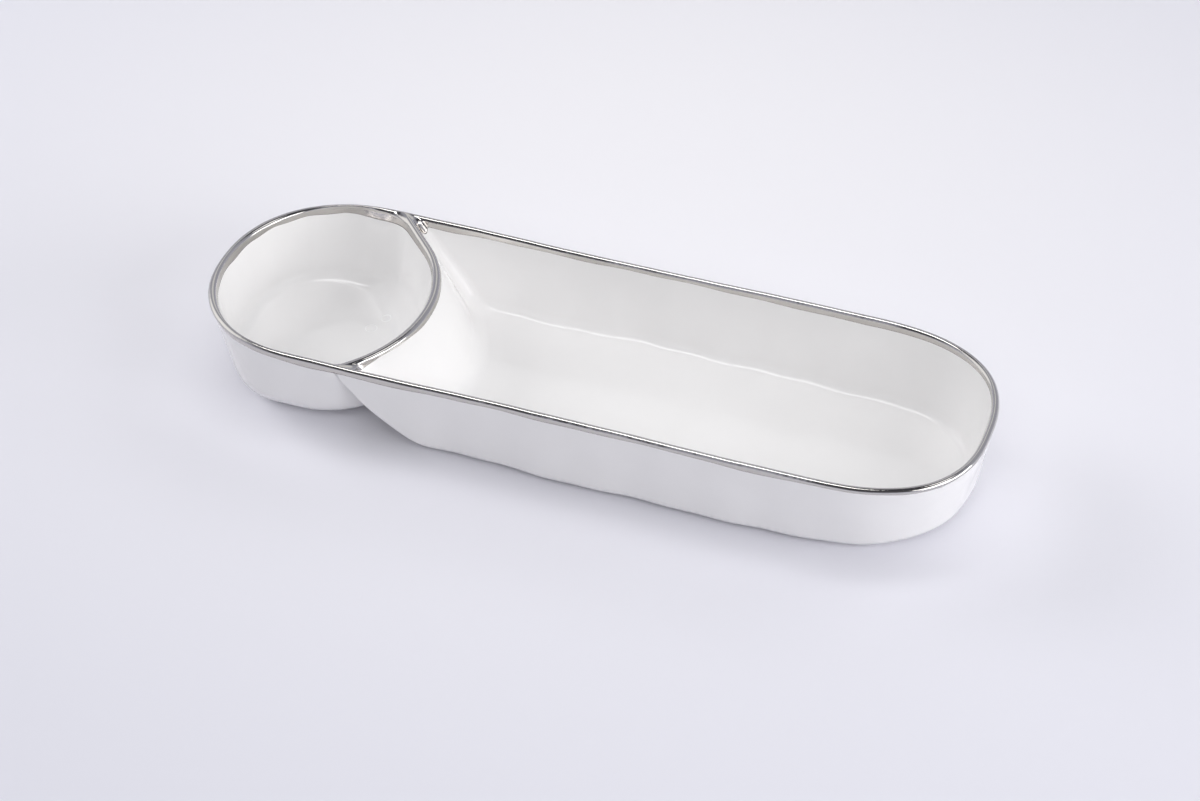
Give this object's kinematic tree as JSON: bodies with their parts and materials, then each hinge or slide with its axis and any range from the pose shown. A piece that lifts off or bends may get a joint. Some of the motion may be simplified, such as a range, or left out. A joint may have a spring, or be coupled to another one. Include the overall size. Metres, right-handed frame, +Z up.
{
  "type": "olive dish",
  "caption": "Long glazed ceramic olive dish: a rounded tray for olives joined to a deep cup for pits, with a metal lustre brushed along the rims and low unglazed foot rings.",
  "frame": {"origin": "middle of the footprint on the table, under the middle of the dish's box", "axes": "+X along the dish from the cup towards the tray's rounded end, +Y to the back wall, +Z up"},
  "size_m": [0.3026, 0.0987, 0.038],
  "materials": {
    "glaze": "glossy clear glaze over white porcelain",
    "bisque": "unglazed, wiped bare before firing",
    "lustre": "fired metal lustre, brushed on by hand"
  },
  "bodies": {
    "root": {"olive_tray": "glaze", "pit_cup": "glaze", "tray_foot_ring": "bisque", "cup_foot_ring": "bisque", "rim_band": "lustre", "tray_lip_band": "lustre", "cup_lip_band": "lustre"}
  },
  "joints": []
}
